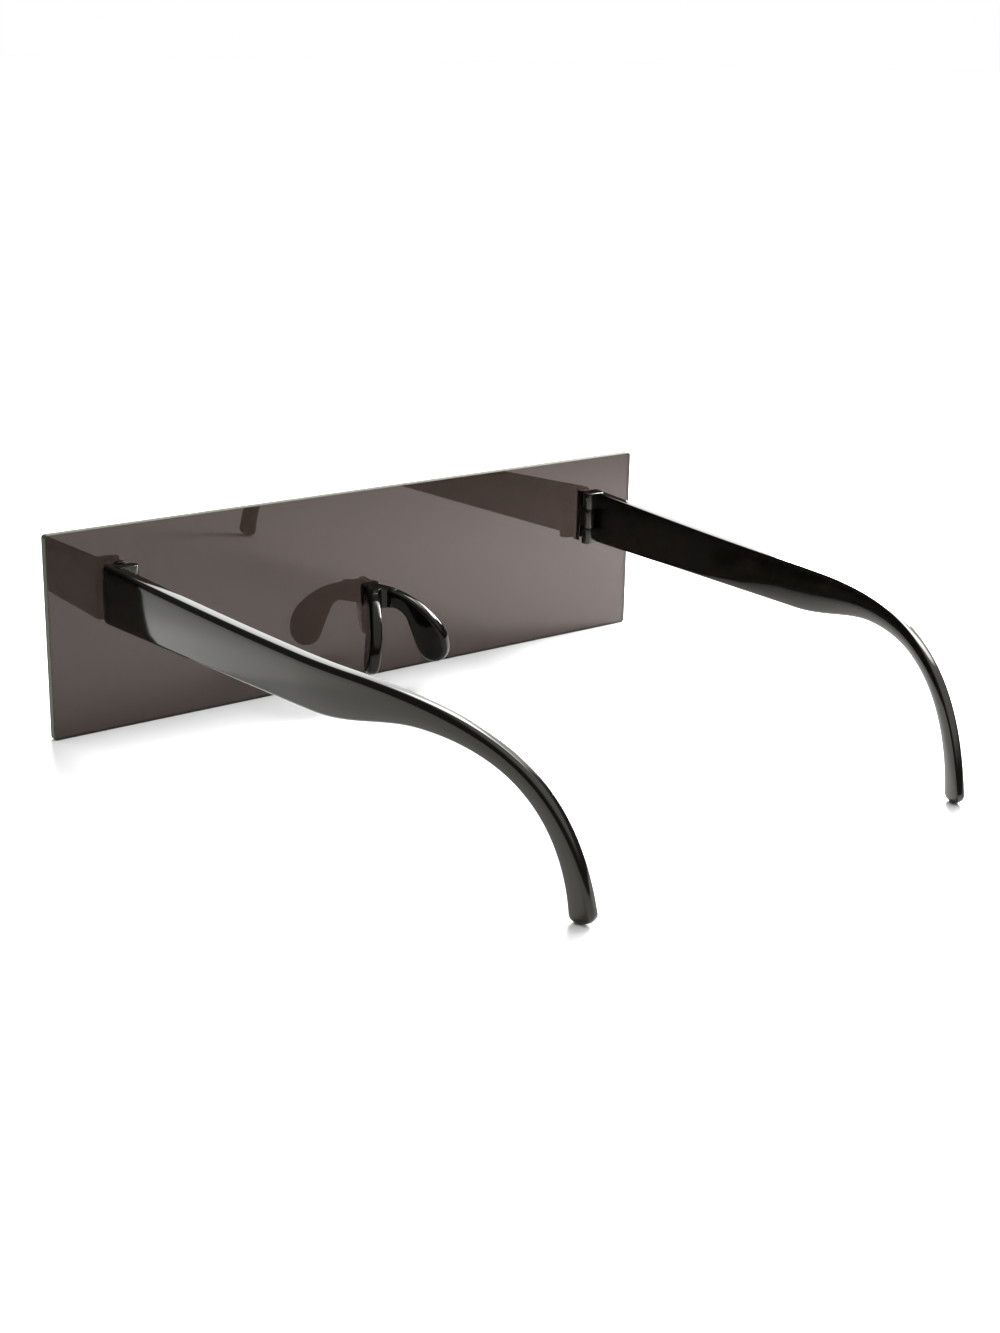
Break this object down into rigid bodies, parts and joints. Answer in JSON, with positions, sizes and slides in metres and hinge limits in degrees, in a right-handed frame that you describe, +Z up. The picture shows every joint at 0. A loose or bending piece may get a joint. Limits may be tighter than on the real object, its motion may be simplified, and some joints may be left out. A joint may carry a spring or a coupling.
{
  "type": "shield sunglasses",
  "caption": "Folding novelty sunglasses with a flat rectangular smoke-tinted shield lens, a moulded nose bridge and slim black temples that end in ear hooks.",
  "frame": {"origin": "middle of the lens's lower edge at mid-thickness, on the surface that the glasses stand on", "axes": "+X towards the wearer's left along the lens, +Y from the lens towards the ears, +Z up along the lens's height"},
  "size_m": [0.155, 0.134, 0.043],
  "materials": {
    "smoke_lens": "transparent brown-grey smoke tint, gloss",
    "bridge_plastic": "moulded black, gloss",
    "bracket_plastic": "moulded black, gloss",
    "temple_plastic": "moulded black, high gloss",
    "screw_steel": "turned steel"
  },
  "bodies": {
    "front": {"lens": "smoke_lens", "nose_bridge": "bridge_plastic", "hinge_bracket_left": "bracket_plastic", "hinge_bracket_right": "bracket_plastic"},
    "left_temple": {"temple_left": "temple_plastic", "hinge_screw_left": "screw_steel"},
    "right_temple": {"temple_right": "temple_plastic", "hinge_screw_right": "screw_steel"}
  },
  "joints": [
    {"name": "left_temple_fold", "type": "hinge", "parent": "front", "child": "left_temple", "pos_m": [0.06099, 0.005, 0.02955], "axis": [0, 0, 1], "range_deg": [0, 84]},
    {"name": "right_temple_fold", "type": "hinge", "parent": "front", "child": "right_temple", "pos_m": [-0.06099, 0.005, 0.02955], "axis": [0, 0, 1], "range_deg": [-74, 0]}
  ]
}
